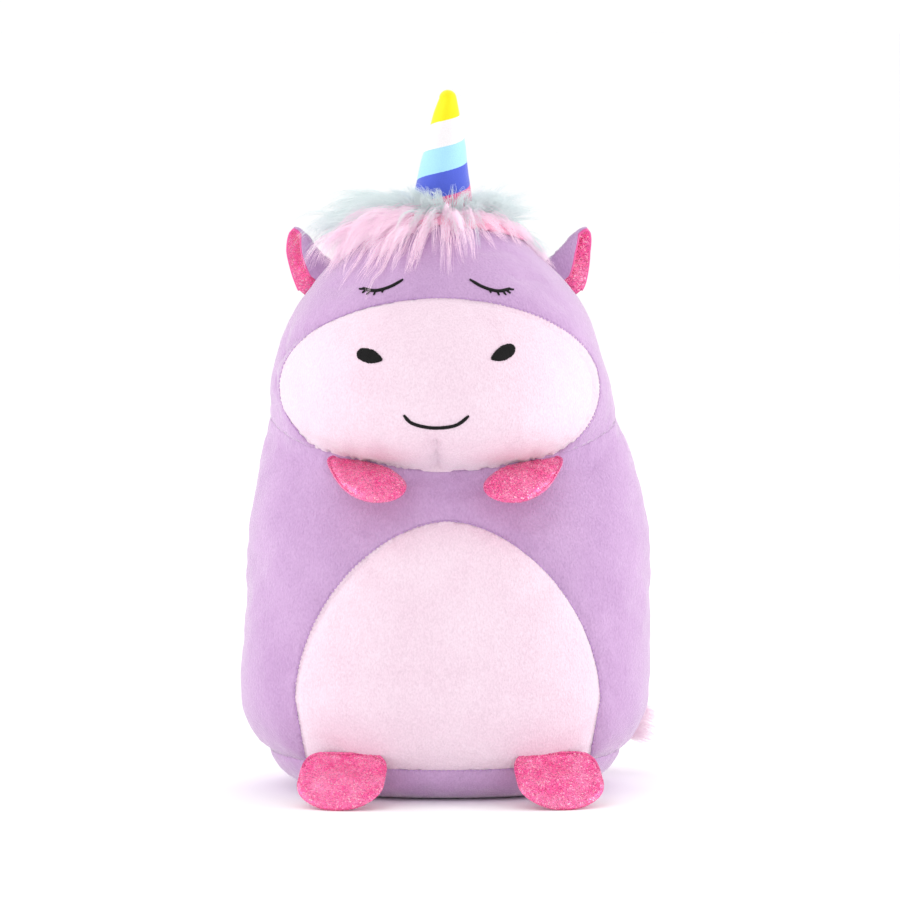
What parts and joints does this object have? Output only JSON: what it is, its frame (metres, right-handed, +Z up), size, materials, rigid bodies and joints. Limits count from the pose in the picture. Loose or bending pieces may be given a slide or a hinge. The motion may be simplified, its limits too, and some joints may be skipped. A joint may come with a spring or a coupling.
{
  "type": "plush unicorn",
  "caption": "Upright stuffed unicorn with a flat base, overhanging muzzle, striped cone horn, folding ears, glitter paws and feet, and a long-pile mane and tail.",
  "frame": {"origin": "middle of the flat base, on the surface that the toy sits on", "axes": "+Z up through the crown; the face looks along -Y; +X is the toy's own left"},
  "size_m": [0.2359, 0.2181, 0.3954],
  "materials": {
    "lilac_velour": "short-pile velour, soft matte",
    "blush_velour": "short-pile velour, soft matte",
    "glitter_fabric": "metallic glitter fabric with bright specks",
    "embroidery_thread": "black satin-stitch thread",
    "rose_fur": "long-pile faux fur",
    "mint_fur": "long-pile faux fur",
    "pale_pink_fur": "long-pile faux fur",
    "striped_horn_fabric": "smooth knitted fabric with diagonal stripes",
    "filling": "loose polyester fibre"
  },
  "bodies": {
    "root": {"base_panel": "lilac_velour", "belly_panel": "blush_velour", "chest_panel": "lilac_velour", "muzzle_panel": "blush_velour", "forehead_panel": "lilac_velour", "back_left_panel": "lilac_velour", "back_right_panel": "lilac_velour", "head_filling": "filling", "body_filling": "filling", "smile": "embroidery_thread", "eye_left": "embroidery_thread", "nostril_left": "embroidery_thread", "eye_right": "embroidery_thread", "nostril_right": "embroidery_thread", "forelock_strip": "rose_fur", "crown_mane_strip": "mint_fur", "back_mane_strip": "mint_fur"},
    "horn": {"horn_cover": "striped_horn_fabric", "horn_filling": "filling"},
    "tail": {"tail_strip": "pale_pink_fur"},
    "ear_left": {"ear_left_outer": "lilac_velour", "ear_left_inner": "glitter_fabric"},
    "arm_left": {"arm_left_upper": "glitter_fabric", "arm_left_under": "glitter_fabric", "arm_left_filling": "filling"},
    "foot_left": {"foot_left_top": "glitter_fabric", "foot_left_sole": "glitter_fabric", "foot_left_filling": "filling"},
    "ear_right": {"ear_right_outer": "lilac_velour", "ear_right_inner": "glitter_fabric"},
    "arm_right": {"arm_right_upper": "glitter_fabric", "arm_right_under": "glitter_fabric", "arm_right_filling": "filling"},
    "foot_right": {"foot_right_top": "glitter_fabric", "foot_right_sole": "glitter_fabric", "foot_right_filling": "filling"}
  },
  "joints": [
    {"name": "horn_rock", "type": "hinge", "parent": "root", "child": "horn", "pos_m": [0, 0, 0.331], "axis": [1, 0, 0], "range_deg": [-15, 15], "stiffness_Nm_per_rad": 0.01},
    {"name": "ear_left_fold", "type": "hinge", "parent": "root", "child": "ear_left", "pos_m": [0.07192, 0.004, 0.29049], "axis": [0.6482, 0, -0.7615], "range_deg": [-60, 60], "stiffness_Nm_per_rad": 0.004},
    {"name": "ear_right_fold", "type": "hinge", "parent": "root", "child": "ear_right", "pos_m": [-0.07192, 0.004, 0.29049], "axis": [0.6482, 0, 0.7615], "range_deg": [-60, 60], "stiffness_Nm_per_rad": 0.004},
    {"name": "arm_left_swing", "type": "hinge", "parent": "root", "child": "arm_left", "pos_m": [0.061, -0.06936, 0.192], "axis": [0, 0, 1], "range_deg": [0, 70], "stiffness_Nm_per_rad": 0.004},
    {"name": "arm_right_swing", "type": "hinge", "parent": "root", "child": "arm_right", "pos_m": [-0.061, -0.06936, 0.192], "axis": [0, 0, -1], "range_deg": [0, 70], "stiffness_Nm_per_rad": 0.004},
    {"name": "foot_left_lift", "type": "hinge", "parent": "root", "child": "foot_left", "pos_m": [0.06113, -0.08209, 0.0263], "axis": [-0.9682, -0.2502, 0], "range_deg": [0, 80], "stiffness_Nm_per_rad": 0.004},
    {"name": "foot_right_lift", "type": "hinge", "parent": "root", "child": "foot_right", "pos_m": [-0.05536, -0.08471, 0.0263], "axis": [-0.9764, 0.216, 0], "range_deg": [0, 80], "stiffness_Nm_per_rad": 0.004},
    {"name": "tail_swing", "type": "hinge", "parent": "root", "child": "tail", "pos_m": [0.005, 0.1015, 0.05], "axis": [0, 0, 1], "range_deg": [0, 75]}
  ]
}
